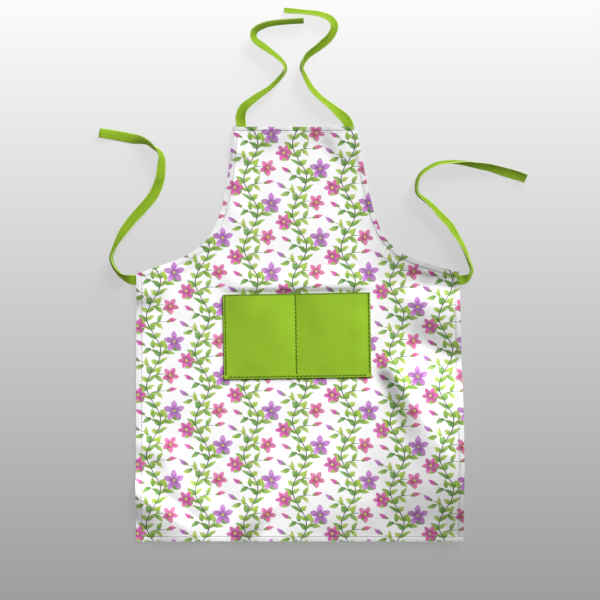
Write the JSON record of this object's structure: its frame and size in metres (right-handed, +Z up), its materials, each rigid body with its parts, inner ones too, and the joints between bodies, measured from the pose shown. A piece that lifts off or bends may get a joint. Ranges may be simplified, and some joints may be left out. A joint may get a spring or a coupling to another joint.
{
  "type": "kitchen apron",
  "caption": "Bib apron of printed cotton laid out flat, with a divided green patch pocket on its front and green tape ties at the neck and waist.",
  "frame": {"origin": "centre of the panel's bounding box seen from above, on the surface that the apron lies on; the ties are not counted", "axes": "+Y from the bottom hem to the bib, +X to the right of the laid apron seen from its front, +Z up, out of the apron's front"},
  "size_m": [0.9167, 1.1425, 0.0386],
  "materials": {
    "printed_cotton": "white plain-weave cotton with a pink, lilac and green sprig print, matt",
    "green_cotton": "plain lime green cotton, matt, sewn with darker green thread",
    "green_tape": "lime green cotton tape, matt"
  },
  "bodies": {
    "root": {"apron_panel": "printed_cotton", "pocket_panel": "green_cotton", "neck_tie_left": "green_tape", "neck_tie_right": "green_tape", "waist_tie_left": "green_tape", "waist_tie_right": "green_tape"}
  },
  "joints": []
}
